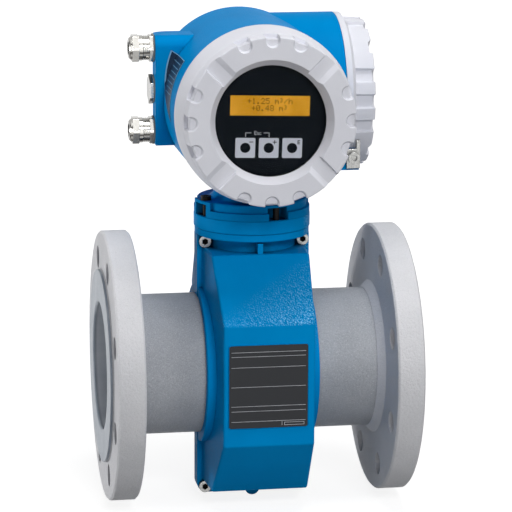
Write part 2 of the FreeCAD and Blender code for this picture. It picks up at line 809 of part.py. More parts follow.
def lock_lug():
    """Cast lug beside the terminal cover; it stays outside the cover's swept circle."""
    lug = block(terminal_end - lug_root, lug_end, lug_face, lug_back, axis_z - lug_low,
                axis_z - lug_high)
    swept = cylinder(terminal_radius + lug_gap, V(terminal_end, terminal_y, axis_z), X,
                     terminal_radius)
    return lug.cut(swept)


def transmitter_housing():
    body = fuse([display_drum(), terminal_drum(), gland_box(), housing_foot(), lock_lug()])
    bay = cylinder(bay_radius, V(0, thread_y, axis_z), Y, -bay_floor - thread_y)
    terminals = cylinder(terminal_bay_radius, V(-terminal_bay_back, terminal_y, axis_z), X,
                         terminal_end + terminal_bay_back)
    cables = cylinder(cable_way, V(0, 0, foot - spigot_depth), Z, axis_height)
    wires = cylinder(wire_way, V(0, -bay_floor, axis_z), Y, terminal_y)
    entries = [cylinder(gland_thread, V(-box_end, gland_y, z), X, box_end - terminal_bay_back + 4)
               for z in gland_z]
    entries.append(cylinder(plug_hole, V(-box_end, gland_y, gland_mid), X,
                            box_end - terminal_bay_back + 4))
    lock = cylinder(screw_shank / 2, V(lock_x, lug_face, lock_z), Y, lock_reach)
    return body.cut(Part.Compound([bay, cables, wires])).cut(terminals) \
        .cut(Part.Compound(entries)).cut(lock)


def side_label():
    """Thin label bent round the drum's flank."""
    inner = drum_radius + label_glue
    band = tube(inner, inner + label_thickness, V(0, -label_near, axis_z), Y,
                label_near - label_far)
    a0, a1 = math.radians(label_from), math.radians(label_to)
    reach = 3 * drum_radius
    start = V(0, -label_near - 1, axis_z)
    wedge = prism([start, start + V(reach * math.cos(a0), 0, reach * math.sin(a0)),
                   start + V(reach * math.cos(a1), 0, reach * math.sin(a1))],
                  Y * (label_near - label_far + 2))
    return band.common(wedge).cut(gland_box())


# ---- castellated covers ----
def notch(ring_r, axis_len):
    """Finger notch with drafted walls: round-ended on the face, open down the ring's side."""
    w, d, lean, above = notch_width / 2, notch_depth, notch_draft, 1.0
    wide = w + lean * above / d
    middle = ring_r - notch_reach + w
    far = ring_r + 8
    end = Part.makeCone(w - lean, wide, d + above, V(middle, 0, -d), Z)
    channel = prism([V(middle, lean - w, -d), V(middle, w - lean, -d), V(middle, wide, above),
                     V(middle, -wide, above)], X * (far - middle))
    floor_r = ring_r - d
    side = prism([V(floor_r, lean - w, above), V(floor_r, w - lean, above),
                  V(floor_r + d + above, wide, above), V(far, wide, above), V(far, -wide, above),
                  V(floor_r + d + above, -wide, above)], -Z * (axis_len + above))
    return end.fuse(channel).fuse(side).removeSplitter()


def trough(from_r, to_r):
    """Gripping trough across the ring: one steep wall and one that slopes up gently."""
    w, d, above = groove_width / 2, groove_depth, 1.0
    return prism([V(from_r, -w - groove_slope * above / d, above), V(from_r, groove_slope - w, -d),
                  V(from_r, w - groove_steep, -d), V(from_r, w + groove_steep * above / d, above)],
                 X * (to_r - from_r))


def castellate(cover, centre, outward, ring_r, axis_len, groove_from):
    """Cut twelve notches in four groups of three and four troughs on the diagonals."""
    placement = FreeCAD.Placement(centre, FreeCAD.Rotation(Z, outward))
    pocket = notch(ring_r, axis_len)
    groove = trough(groove_from, ring_r + 8)
    cuts = []
    for quarter in range(4):
        for step in (-notch_step, 0, notch_step):
            cuts.append(spun(pocket, V(0, 0, 0), Z, 90 * quarter + step))
        cuts.append(spun(groove, V(0, 0, 0), Z, 90 * quarter + 45))
    for cut in cuts:
        cut.Placement = placement.multiply(cut.Placement)
    return cover.cut(Part.Compound(cuts))


def display_cover():
    """Screwed cover with conical skirt, castellated ring and bevelled window."""
    f, e = cover_front, cover_edge
    bevel_r = window_radius + window_bevel
    thread_end = thread_y - 1.0
    skirt_end = (cover_ring_rear + cover_skirt_lip, ring_rear + cover_skirt_start)
    profile = [(thread_radius + running_fit, cover_rear), (cover_radius, cover_rear),
               (cover_radius, cover_rear - cover_skirt_flat), skirt_end,
               (cover_ring_rear, ring_rear), (cover_ring_radius, f + e),
               (cover_ring_radius - e * 0.3, f + e * 0.3), (cover_ring_radius - e, f),
               (bevel_r, f), (window_radius, window_y), (window_radius, glass_front),
               (glass_radius, glass_front), (glass_radius, retainer_rear + 0.6),
               (cover_cavity, retainer_rear + 0.6), (cover_cavity, thread_end),
               (thread_radius + running_fit, thread_end)]
    cover = turned(profile, DISPLAY, Y)
    groove = tube(seal_inner(), seal_outer(), V(0, cover_rear - seal_depth, axis_z), Y,
                  seal_depth + 1)
    cover = cover.cut(groove)
    return castellate(cover, V(0, f, axis_z), -Y, cover_ring_radius, cover_ring_length,
                      bevel_r - 2.6)


def seal_inner():
    return thread_radius + seal_margin


def seal_outer():
    return drum_radius - seal_margin


def display_cover_seal():
    return tube(seal_inner(), seal_outer(), V(0, cover_rear - seal_depth, axis_z), Y,
                seal_depth + face_gap - seal_gap)


def window_glass():
    return cylinder(glass_radius, V(0, glass_front, axis_z), Y, glass_thickness)


def window_retainer():
    return tube(glass_radius - retainer_wall, glass_radius, V(0, glass_rear, axis_z), Y,
                retainer_height)


def terminal_cover():
    """Screwed end cover: spigot with thread, flange, conical step and castellated ring."""
    inner = terminal_bay_radius - running_fit
    c = end_cover_corner
    deep = end_front - end_cover_wall
    profile = [(inner, end_rear), (terminal_radius, end_rear),
               (terminal_radius, end_rear + end_cover_flange_length),
               (end_cover_ring_rear, end_ring_rear), (end_cover_ring_front, end_front - c),
               (end_cover_ring_front - c * 0.3, end_front - c * 0.3),
               (end_cover_ring_front - c, end_front), (0, end_front), (0, deep),
               (inner - spigot_wall, deep), (inner - spigot_wall, end_rear - spigot_length),
               (inner, end_rear - spigot_length)]
    cover = turned(profile, TERMINAL, X)
    groove = tube(end_seal_inner(), end_seal_outer(), V(end_rear - 1, terminal_y, axis_z), X,
                  seal_depth + 1)
    cover = cover.cut(groove)
    return castellate(cover, V(end_front, terminal_y, axis_z), X, end_cover_ring_front,
                      end_front - end_ring_rear, end_cover_ring_front * 0.62)


def end_seal_inner():
    return terminal_bay_radius + end_seal_inner_margin


def end_seal_outer():
    return terminal_radius - end_seal_outer_margin


def terminal_cover_seal():
    return tube(end_seal_inner(), end_seal_outer(),
                V(terminal_end + seal_gap, terminal_y, axis_z), X,
                seal_depth + face_gap - seal_gap)


# ---- display unit ----
def facing(x, z, size_x, size_z, front, depth):
    """Upright block centred at (x, z) from the display's axis."""
    return block(x - size_x / 2, x + size_x / 2, front, front + depth, axis_z + z - size_z / 2,
                 axis_z + z + size_z / 2)


def on_display(x, z, size_x, size_z):
    """Inlay of the fascia, tilted with the display."""
    return spun(facing(x, z, size_x, size_z, fascia_front, inlay), DISPLAY, Y, display_tilt)


def key_places():
    return [-key_pitch, 0, key_pitch]


def lcd_panel():
    return on_display(0, lcd_rise, lcd_width, lcd_height)


def key_windows():
    keys = [cylinder(key_radius, V(x, fascia_front, axis_z - key_drop), Y, inlay)
            for x in key_places()]
    return spun(Part.Compound(keys), DISPLAY, Y, display_tilt)


def key_fields():
    fields = [on_display(x, -key_drop, key_size, key_size) for x in key_places()]
    fields = [rounded(f, key_corner, lambda e: e.BoundBox.YLength > 0.1) for f in fields]
    return Part.Compound(fields).cut(key_windows())


def display_fascia():
    disc = cylinder(fascia_radius, V(0, fascia_front, axis_z), Y, fascia_thickness)
    return disc.cut(lcd_panel()).cut(key_fields()).cut(key_windows())


def display_carrier():
    """Shallow cup behind the fascia with the pivot hub in its middle."""
    cup = cylinder(carrier_radius, V(0, fascia_rear, axis_z), Y, carrier_depth)
    hollow = cylinder(carrier_radius - carrier_wall, V(0, fascia_rear, axis_z), Y,
                      carrier_depth - carrier_wall)
    hub = cylinder(pivot_radius + running_fit + pivot_wall, V(0, fascia_rear, axis_z), Y,
                   carrier_depth)
    hole = cylinder(pivot_radius + running_fit, V(0, fascia_rear, axis_z), Y, carrier_depth)
    return fuse([cup.cut(hollow), hub]).cut(hole)


# ---- electronics ----
def post_points(y):
    return [spun(Part.Vertex(V(post_circle, y, axis_z)), DISPLAY, Y, 45 + 90 * i).Point
            for i in range(4)]


def board_frame():
    """Front plate with the display's pivot pin on four posts that stand on the bay's floor."""
    plate = cylinder(frame_radius, V(0, frame_front, axis_z), Y, frame_plate)
    pin = cylinder(pivot_radius, V(0, fascia_rear + face_gap, axis_z), Y, frame_front - fascia_rear)
    posts = [cylinder(post_radius, p, Y, -bay_floor - frame_front) for p in post_points(frame_front)]
    return fuse([plate, pin] + posts)


def electronics_boards():
    boards = []
    for i in range(board_count):
        y = -bay_floor - (i + 1) * board_pitch
        board = cylinder(frame_radius, V(0, y, axis_z), Y, board_thickness)
        parts = [facing(x, z, width, height, y - rise, rise)
                 for x, z, width, height, rise in components]
        board = fuse([board] + parts)
        holes = [cylinder(post_radius, p, Y, board_thickness) for p in post_points(y)]
        boards.append(board.cut(Part.Compound(holes)))
    return Part.Compound(boards)


# ---- terminals ----
def terminal_carrier():
    """Partition across the terminal bay, open on the cable side."""
    disc = cylinder(terminal_bay_radius, V(carrier_x, terminal_y, axis_z), X, carrier_thickness)
    opening = block(carrier_x, strip_x, terminal_y - terminal_bay_radius,
                    terminal_y - strip_pitch - strip_width, axis_z - terminal_bay_radius,
                    axis_z + terminal_bay_radius)
    return disc.cut(opening)


def strip_rows():
    return [terminal_y - strip_pitch / 2, terminal_y + strip_pitch / 2]


def terminal_places():
    first = axis_z - (terminal_count - 1) * terminal_pitch / 2
    return [(y, first + i * terminal_pitch) for y in strip_rows() for i in range(terminal_count)]


def terminal_strips():
    """Two rows of stepped screw terminals with a wire entry under each screw."""
    strips = []
    for y in strip_rows():
        body = block(strip_x, strip_x + strip_depth, y - strip_width / 2, y + strip_width / 2,
                     axis_z - strip_length / 2, axis_z + strip_length / 2)
        ledge = block(strip_x + strip_depth * 0.6, strip_x + strip_depth, y - strip_width / 2,
                      y - strip_width / 6, axis_z - strip_length / 2, axis_z + strip_length / 2)
        strips.append(body.cut(ledge))
    wells = [cylinder(terminal_screw, V(strip_x + strip_depth - 3, y + strip_width / 6, z), X, 4)
             for y, z in terminal_places()]
    return Part.Compound(strips).cut(Part.Compound(wells))


def terminal_screws():
    heads = []
    for y, z in terminal_places():
        start = V(strip_x + strip_depth - 3, y + strip_width / 6, z)
        head = cylinder(terminal_screw, start, X, 2)
        slot = block(start.x + 1.2, start.x + 2, y - strip_width, y + strip_width, z - 0.4, z + 0.4)
        heads.append(head.cut(slot))
    return Part.Compound(heads)


# ---- cover lock ----
def cover_clamp():
    """Claw that reaches over the terminal cover's flange and is held by one screw."""
    foot_part = block(lug_end - clamp_width, lug_end, clamp_face, lug_face, axis_z - clamp_low,
                      axis_z - lug_high)
    claw = block(end_ring_rear + lug_gap, lug_end, clamp_face, lug_face, axis_z - clamp_low,
                 axis_z - claw_high)
    flange_swept = cylinder(terminal_radius + lug_gap, V(terminal_end, terminal_y, axis_z), X,
                            end_ring_rear + lug_gap - terminal_end)
    ring_swept = cylinder(end_cover_ring_rear + lug_gap, V(terminal_end, terminal_y, axis_z), X,
                          terminal_radius)
    body = fuse([foot_part, claw]).cut(flange_swept).cut(ring_swept)
    return body.cut(cylinder(screw_shank / 2, V(lock_x, clamp_face, lock_z), Y, clamp_thickness))


def cover_clamp_screw():
    return socket_screw(screw_shank, screw_head, screw_head_height * 0.8,
                        V(lock_x, clamp_face, lock_z), Y, lock_reach)


# ---- glands and plug ----
def gland_hexagon(across, start, length):
    """Hexagon along -X with a corner towards the front and its corners rounded off."""
    hexa = hexagon(across, start, -X, length, 30.0)
    return hexa.common(cylinder(across / math.sqrt(3) - hex_rounding, start, -X, length))


def gland_body(z):
    """Gland body: threaded shank in the wall, hexagon, ribbed neck and the cap's thread."""
    start = V(-box_end - washer_thickness, gland_y, z)
    shank = cylinder(gland_thread, V(-box_end + gland_shank, gland_y, z), -X,
                     gland_shank + washer_thickness)
    hexa = gland_hexagon(gland_hex, start, gland_hex_length)
    neck_start = start - X * gland_hex_length
    neck = cylinder(gland_neck, neck_start, -X, gland_neck_length + cap_length * 0.6)
    ribs = [tube(gland_neck - 1, gland_neck + rib_height,
                 neck_start - X * (rib_height + rib_pitch * i), -X, rib_width)
            for i in range(rib_count)]
    bore_cut = cylinder(cable_hole + insert_wall, V(0, gland_y, z), -X, box_end * 2)
    return fuse([shank, hexa, neck] + ribs).cut(bore_cut)


def cap_start(z):
    return V(-box_end - washer_thickness - gland_hex_length - gland_neck_length, gland_y, z)


def gland_cap(z):
    """Domed cap nut with a hexagon band, which squeezes the insert round the cable."""
    start = cap_start(z)
    r = cap_radius
    profile = [(0, 0), (r - 0.4, 0), (r, 0.4), (r, cap_length - 5.0), (r - 0.5, cap_length - 2.8),
               (r - 1.4, cap_length - 1.0), (cap_mouth, cap_length), (0, cap_length)]
    band_start = start - X * (cap_length - cap_band_front - cap_band)
    shape = turned(profile, start, -X).fuse(gland_hexagon(cap_hex, band_start, cap_band))
    inside = cylinder(gland_neck + running_fit, start, -X, cap_length - cap_wall)
    return shape.cut(inside).cut(cylinder(cable_hole + 0.4, start, -X, cap_length))


def gland_insert(z):
    """Rubber insert inside the gland body with the hole for the cable."""
    end = cap_start(z) - X * (cap_length * 0.6)
    return tube(cable_hole, cable_hole + insert_wall, end, X, gland_neck_length + cap_length * 0.6)


def gland_washers():
    rings = [tube(gland_thread, washer_radius, V(-box_end, gland_y, z), -X, washer_thickness)
             for z in gland_z]
    rings.append(tube(plug_hole, washer_radius, V(-box_end, gland_y, gland_mid), -X,
                      washer_thickness))
    return Part.Compound(rings)


def blanking_plug():
    start = V(-box_end - washer_thickness, gland_y, gland_mid)
    head = hexagon(plug_hex, start, -X, plug_length)
    shank = cylinder(plug_hole, V(-box_end + gland_shank, gland_y, gland_mid), -X,
                     gland_shank + washer_thickness)
    return fuse([head, shank])


NODES = {
    "measuring_tube": measuring_tube,
    "liner": liner,
    "flange_inlet": lambda: flange(-1),
    "flange_outlet": lambda: flange(1),
    "casing_front": lambda: casing_half(NEAR),
    "casing_rear": lambda: casing_half(FAR),
    "casing_gasket": casing_gasket,
    "casing_screws": casing_screws,
    "nameplate": nameplate,
    "pole_shoes": pole_shoes,
    "coil_upper": lambda: coil(1),
    "coil_lower": lambda: coil(-1),
    "coil_cores": coil_cores,
    "return_yoke": return_yoke,
    "electrodes": electrodes,
    "electrode_bushes": electrode_bushes,
    "electrode_nuts": electrode_nuts,
    "collar_base": collar_base,
    "collar_ring": collar_ring,
    "collar_screws": collar_screws,
    "swivel_bolts": swivel_bolts,
    "swivel_nuts": swivel_nuts,
    "swivel_seal": swivel_seal,
    "transmitter_housing": transmitter_housing,
    "side_label": side_label,
    "display_cover": display_cover,
    "display_cover_seal": display_cover_seal,
    "window_glass": window_glass,
    "window_retainer": window_retainer,
    "display_fascia": display_fascia,
    "display_carrier": display_carrier,
    "lcd_panel": lcd_panel,
    "key_fields": key_fields,
    "key_windows": key_windows,
    "board_frame": board_frame,
    "electronics_boards": electronics_boards,
    "terminal_cover": terminal_cover,
    "terminal_cover_seal": terminal_cover_seal,
    "terminal_carrier": terminal_carrier,
    "terminal_strips": terminal_strips,
    "terminal_screws": terminal_screws,
    "cover_clamp": cover_clamp,
    "cover_clamp_screw": cover_clamp_screw,
    "gland_body_lower": lambda: gland_body(gland_z[0]),
    "gland_body_upper": lambda: gland_body(gland_z[1]),
    "gland_cap_lower": lambda: gland_cap(gland_z[0]),
    "gland_cap_upper": lambda: gland_cap(gland_z[1]),
    "gland_insert_lower": lambda: gland_insert(gland_z[0]),
    "gland_insert_upper": lambda: gland_insert(gland_z[1]),
    "gland_washers": gland_washers,
    "blanking_plug": blanking_plug,
}


def main():
    os.makedirs("parts", exist_ok=True)
    for name, make in NODES.items():
        make().exportStep("parts/" + name + ".step")


main()
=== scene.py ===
"""Looks of the flanged electromagnetic flow meter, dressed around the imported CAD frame.

Metres, in the CAD's frame: the origin is the centre of the tube, +X runs along the flow,
-Y is the display's side and +Z is up.
"""
import json
import math

import bmesh
import bpy
from mathutils import Matrix, Vector


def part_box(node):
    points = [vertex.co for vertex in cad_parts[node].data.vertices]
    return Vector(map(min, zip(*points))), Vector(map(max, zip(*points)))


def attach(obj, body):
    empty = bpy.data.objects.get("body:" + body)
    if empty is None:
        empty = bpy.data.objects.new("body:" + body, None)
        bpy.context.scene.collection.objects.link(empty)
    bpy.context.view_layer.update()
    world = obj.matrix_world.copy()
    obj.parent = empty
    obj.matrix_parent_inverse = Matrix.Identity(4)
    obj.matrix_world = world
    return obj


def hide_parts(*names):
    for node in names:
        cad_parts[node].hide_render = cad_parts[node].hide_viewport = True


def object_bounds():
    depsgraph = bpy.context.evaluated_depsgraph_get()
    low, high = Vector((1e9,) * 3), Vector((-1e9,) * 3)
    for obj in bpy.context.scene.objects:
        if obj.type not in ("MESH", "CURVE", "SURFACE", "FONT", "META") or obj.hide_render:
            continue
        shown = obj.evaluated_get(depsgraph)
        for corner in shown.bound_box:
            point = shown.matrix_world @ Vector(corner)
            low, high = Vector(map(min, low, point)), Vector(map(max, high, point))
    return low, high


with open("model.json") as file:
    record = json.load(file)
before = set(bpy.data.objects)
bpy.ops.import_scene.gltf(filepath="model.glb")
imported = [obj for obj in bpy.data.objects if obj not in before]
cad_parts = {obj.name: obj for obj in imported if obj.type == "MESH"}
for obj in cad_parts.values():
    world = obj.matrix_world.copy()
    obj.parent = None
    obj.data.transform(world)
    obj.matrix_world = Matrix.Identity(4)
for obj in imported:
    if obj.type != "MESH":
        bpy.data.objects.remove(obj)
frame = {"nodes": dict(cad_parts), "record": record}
cad_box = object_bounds()
NODES = frame["nodes"]
MM = 0.001

CAMERA_YAW, CAMERA_PITCH, CAMERA_ROLL = 9.543, -12.054, 0.237     # degrees
CAMERA_DISTANCE = 2.17198
CAMERA_TARGET = Vector((0.003755, 0.0, 0.087119))
CAMERA_LENS = 187.14             # millimetres, on a sensor 36 mm wide
SOFT_STRENGTH = 0.13             # the world's light on the object
FLOOR_TONE = 0.28
FLOOR_GAP = 0.0005               # from the lowest point down to the floor
FLOOR_HALF = 6.0


# ---------------------------------------------------------------- camera and stage
def look_camera():
    """Long lens a little to the left of and above the display's axis."""
    yaw, pitch, roll = (math.radians(turn) for turn in (CAMERA_YAW, CAMERA_PITCH, CAMERA_ROLL))
    ahead = Vector((math.sin(yaw) * math.cos(pitch), math.cos(yaw) * math.cos(pitch), math.sin(pitch)))
    right = Vector((math.cos(yaw), -math.sin(yaw), 0.0))
    up = right.cross(ahead)
    right, up = (right * math.cos(roll) + up * math.sin(roll),
                 up * math.cos(roll) - right * math.sin(roll))
    data = bpy.data.cameras.new("camera")
    data.sensor_width = 36.0
    data.lens = CAMERA_LENS
    data.clip_end = 20.0
    camera = bpy.data.objects.new("camera", data)
    turn = Matrix((right, up, -ahead)).transposed()
    camera.matrix_world = Matrix.Translation(CAMERA_TARGET - ahead * CAMERA_DISTANCE) @ turn.to_4x4()
    bpy.context.collection.objects.link(camera)
    bpy.context.scene.camera = camera


def area_light(name, place, aim, size, power, width=None):
    """Soft rectangular panel aimed at a point; width makes it wider than it is high."""
    data = bpy.data.lights.new(name, "AREA")
    data.energy = power
    data.shape = "RECTANGLE"
    data.size = width or size
    data.size_y = size
    lamp = bpy.data.objects.new(name, data)
    lamp.location = place
    lamp.rotation_euler = (Vector(aim) - Vector(place)).to_track_quat("-Z", "Y").to_euler()
    bpy.context.collection.objects.link(lamp)
    lamp.visible_camera = False


def seen_directly(tree):
    """1 where a camera, mirror or glass ray arrives, 0 where light is being gathered."""
    path = tree.nodes.new("ShaderNodeLightPath")
    sums = []
    for kind in ("Is Glossy Ray", "Is Transmission Ray"):
        both = tree.nodes.new("ShaderNodeMath")
        both.operation = "MAXIMUM"
        tree.links.new(sums[-1] if sums else path.outputs["Is Camera Ray"], both.inputs[0])
        tree.links.new(path.outputs[kind], both.inputs[1])
        sums.append(both.outputs[0])
    return sums[-1]


def studio():
    """White seen directly, a softer light that fades downwards elsewhere, and five panels."""
    world = bpy.data.worlds.new("studio")
    bpy.context.scene.world = world
    world.use_nodes = True
    tree = world.node_tree
    tree.nodes.clear()
    soft = tree.nodes.new("ShaderNodeBackground")
    soft.inputs["Strength"].default_value = SOFT_STRENGTH
    white = tree.nodes.new("ShaderNodeBackground")
    white.inputs["Color"].default_value = (1, 1, 1, 1)
    mix = tree.nodes.new("ShaderNodeMixShader")
    out = tree.nodes.new("ShaderNodeOutputWorld")
    place = tree.nodes.new("ShaderNodeTexCoord")
    split = tree.nodes.new("ShaderNodeSeparateXYZ")
    ramp = tree.nodes.new("ShaderNodeValToRGB")
    shift = tree.nodes.new("ShaderNodeMapRange")
    shift.inputs["From Min"].default_value = -1.0
    tree.links.new(place.outputs["Generated"], split.inputs[0])
    tree.links.new(split.outputs["Z"], shift.inputs["Value"])
    tree.links.new(shift.outputs[0], ramp.inputs[0])
    stops = ramp.color_ramp.elements
    for stop, position, color in zip(stops, (0.35, 0.75), ((0.30, 0.31, 0.33, 1), (1, 1, 1, 1))):
        stop.position = position
        stop.color = color
    tree.links.new(ramp.outputs[0], soft.inputs["Color"])
    tree.links.new(seen_directly(tree), mix.inputs[0])
    tree.links.new(soft.outputs[0], mix.inputs[1])
    tree.links.new(white.outputs[0], mix.inputs[2])
    tree.links.new(mix.outputs[0], out.inputs["Surface"])
    bpy.context.scene.view_settings.view_transform = "Standard"
    area_light("top_panel", (0.15, -0.25, 1.7), (0, 0, 0.1), 0.6, 15.0, width=0.9)
    area_light("left_panel", (-1.9, 0.3, 0.08), (0, 0, 0.05), 0.5, 16.0)
    area_light("right_panel", (1.3, -1.5, 1.0), (0, 0, 0.1), 0.35, 3.6)
    area_light("front_panel", (0.25, -2.0, 1.3), (0, 0, 0.05), 0.5, 18.5)
    area_light("low_panel", (-0.3, -2.2, 0.15), (0, 0, 0.0), 0.4, 5.0)


def floor():
    """Wide pale floor under the meter: it keeps the shadow, and is white where it is lit."""
    low = cad_box[0][2] - FLOOR_GAP
    mesh = bpy.data.meshes.new("floor")
    corners = ((-1, -1), (1, -1), (1, 1), (-1, 1))
    mesh.from_pydata([(x * FLOOR_HALF, y * FLOOR_HALF, low) for x, y in corners], [], [(0, 1, 2, 3)])
    plane = bpy.data.objects.new("floor", mesh)
    bpy.context.collection.objects.link(plane)
    material = bpy.data.materials.new("floor_white")
    material.use_nodes = True
    tree = material.node_tree
    shader = tree.nodes["Principled BSDF"]
    shader.inputs["Base Color"].default_value = (FLOOR_TONE, FLOOR_TONE, FLOOR_TONE, 1)
    shader.inputs["Roughness"].default_value = 0.9
    glow = tree.nodes.new("ShaderNodeEmission")
    glow.inputs["Color"].default_value = (1, 1, 1, 1)
    place = tree.nodes.new("ShaderNodeTexCoord")
    away = tree.nodes.new("ShaderNodeVectorMath")
    away.operation = "LENGTH"
    tree.links.new(place.outputs["Object"], away.inputs[0])
    fade = tree.nodes.new("ShaderNodeMapRange")
    for socket, value in (("From Min", 0.3), ("From Max", 0.9), ("To Min", 0.86), ("To Max", 1.0)):
        fade.inputs[socket].default_value = value
    tree.links.new(away.outputs["Value"], fade.inputs["Value"])
    lift = tree.nodes.new("ShaderNodeMath")
    lift.operation = "MULTIPLY"
    tree.links.new(fade.outputs[0], lift.inputs[1])
    tree.links.new(seen_directly(tree), lift.inputs[0])
    tree.links.new(lift.outputs[0], glow.inputs["Strength"])
    both = tree.nodes.new("ShaderNodeAddShader")
    tree.links.new(shader.outputs[0], both.inputs[0])
    tree.links.new(glow.outputs[0], both.inputs[1])
    tree.links.new(both.outputs[0], tree.nodes["Material Output"].inputs["Surface"])
    mesh.materials.append(material)


# ---------------------------------------------------------------- materials
class Look:
    """A node material under construction: one principled shader and short ways to feed it."""

    def __init__(self, name, **sockets):
        self.material = bpy.data.materials.new(name)
        self.material.use_nodes = True
        self.tree = self.material.node_tree
        self.shader = self.tree.nodes["Principled BSDF"]
        for socket, value in sockets.items():
            self.shader.inputs[socket.replace("_", " ")].default_value = value
        self.coordinates = self.tree.nodes.new("ShaderNodeTexCoord").outputs["Object"]

    def add(self, kind, links=(), **values):
        node = self.tree.nodes.new(kind)
        for key, value in values.items():
            setattr(node, key, value)
        for socket, source in dict(links).items():
            self.feed(node.inputs[socket], source)
        return node

    def feed(self, socket, source):
        if isinstance(source, bpy.types.NodeSocket):
            self.tree.links.new(source, socket)
        else:
            socket.default_value = source

    def noise(self, scale, detail=3.0, roughness=0.55, stretch=(1, 1, 1), shift=(0, 0, 0)):
        place = self.add("ShaderNodeMapping", {"Vector": self.coordinates, "Scale": stretch,
                                               "Location": shift})
        return self.add("ShaderNodeTexNoise", {"Vector": place.outputs[0], "Scale": scale,
                                               "Detail": detail, "Roughness": roughness}).outputs["Fac"]

    def cells(self, scale):
        return self.add("ShaderNodeTexVoronoi", {"Vector": self.coordinates,
                                                 "Scale": scale}).outputs["Distance"]

    def fit(self, value, low, high, to_low=0.0, to_high=1.0):
        return self.add("ShaderNodeMapRange", {"Value": value, "From Min": low, "From Max": high,
                                               "To Min": to_low, "To Max": to_high}).outputs[0]

    def math(self, operation, a, b=0.0):
        return self.add("ShaderNodeMath", {0: a, 1: b}, operation=operation).outputs[0]

    def blend(self, amount, first, second):
        node = self.add("ShaderNodeMix", data_type="RGBA")
        self.feed(node.inputs[0], amount)
        self.feed(node.inputs[6], first)
        self.feed(node.inputs[7], second)
        return node.outputs[2]

    def bump(self, height, distance, edge=0.0):
        """Surface relief in metres, and edge rounds the solid's sharp edges in the shading."""
        links = {"Height": height, "Distance": distance, "Strength": 1.0}
        if edge:
            links["Normal"] = self.add("ShaderNodeBevel", {"Radius": edge}, samples=6).outputs[0]
        return self.add("ShaderNodeBump", links).outputs[0]

    def painted_recess_shade(self, tone, reach, depth):
        """Painted shade: darker colour, from ambient occlusion, in recesses narrower than reach."""
        open_sky = self.add("ShaderNodeAmbientOcclusion", {"Distance": reach}, samples=8).outputs["AO"]
        node = self.add("ShaderNodeMix", data_type="RGBA", blend_type="MULTIPLY")
        self.feed(node.inputs[0], self.fit(open_sky, 0.15, 0.65, depth, 0.0))
        self.feed(node.inputs[6], tone)
        self.feed(node.inputs[7], (0.05, 0.05, 0.06, 1.0))
        return node.outputs[2]

    def facing(self, axis):
        """The surface's own direction along X, Y or Z, from -1 to 1."""
        turned = self.tree.nodes.new("ShaderNodeTexCoord").outputs["Normal"]
        return self.add("ShaderNodeSeparateXYZ", {"Vector": turned}).outputs[axis]

    def along(self, axis):
        return self.add("ShaderNodeSeparateXYZ", {"Vector": self.coordinates}).outputs[axis]

    def ramp(self, value, stops):
        """Colour by value, where the stops are (position, colour) pairs."""
        node = self.add("ShaderNodeValToRGB", {"Fac": value})
        while len(node.color_ramp.elements) < len(stops):
            node.color_ramp.elements.new(0.5)
        for element, (position, color) in zip(node.color_ramp.elements, stops):
            element.position = position
            element.color = color
        return node.outputs["Color"]

    def set(self, **sockets):
        for socket, source in sockets.items():
            self.feed(self.shader.inputs[socket.replace("_", " ")], source)
        return self


def rgb(code):
    """Linear colour from an sRGB hex code."""
    values = [int(code[i:i + 2], 16) / 255 for i in (0, 2, 4)]
    return tuple(v / 12.92 if v <= 0.04045 else ((v + 0.055) / 1.055) ** 2.4 for v in values) + (1.0,)


def coated(name, light, dark, roughness, gloss=0.06, recess_shade=0.0):
    """Paint or powder coat: slow mottling, fine orange peel and slightly uneven gloss, with painted
    shade in recesses when its last argument is above zero.
    """
    look = Look(name, Specular_IOR_Level=gloss)
    patches = look.fit(look.noise(18.0, 4.0), 0.3, 0.7)
    fine = look.noise(900.0, 3.0)
    tone = look.blend(patches, dark, light)
    # painted shade: the colour darkens in recesses, by the last argument's amount
    look.set(Base_Color=look.painted_recess_shade(tone, 0.012, recess_shade) if recess_shade else tone,
             Roughness=look.fit(fine, 0.3, 0.7, roughness - 0.06, roughness + 0.06),
             Normal=look.bump(fine, 0.03 * MM, edge=0.6 * MM))
    return look


SLOPE_HALF = 0.036                           # half width of the casing's upper slope
SLOPE_TOP, SLOPE_LOW = 0.098, 0.050          # heights of the slope's edges
SLOPE_FADES = (("Y", -0.093, -0.0895),       # axis, place with no pebble relief and painted glints, place where all show
               ("Y", -0.044, -0.052),
               ("Z", 0.0492, 0.0508))
FLANK_FADE_X = (0.0372, 0.0385)              # the flank's pebble relief and painted glints begin at the slope's right edge
FLANK_FADE_Z = (0.02, 0.06)


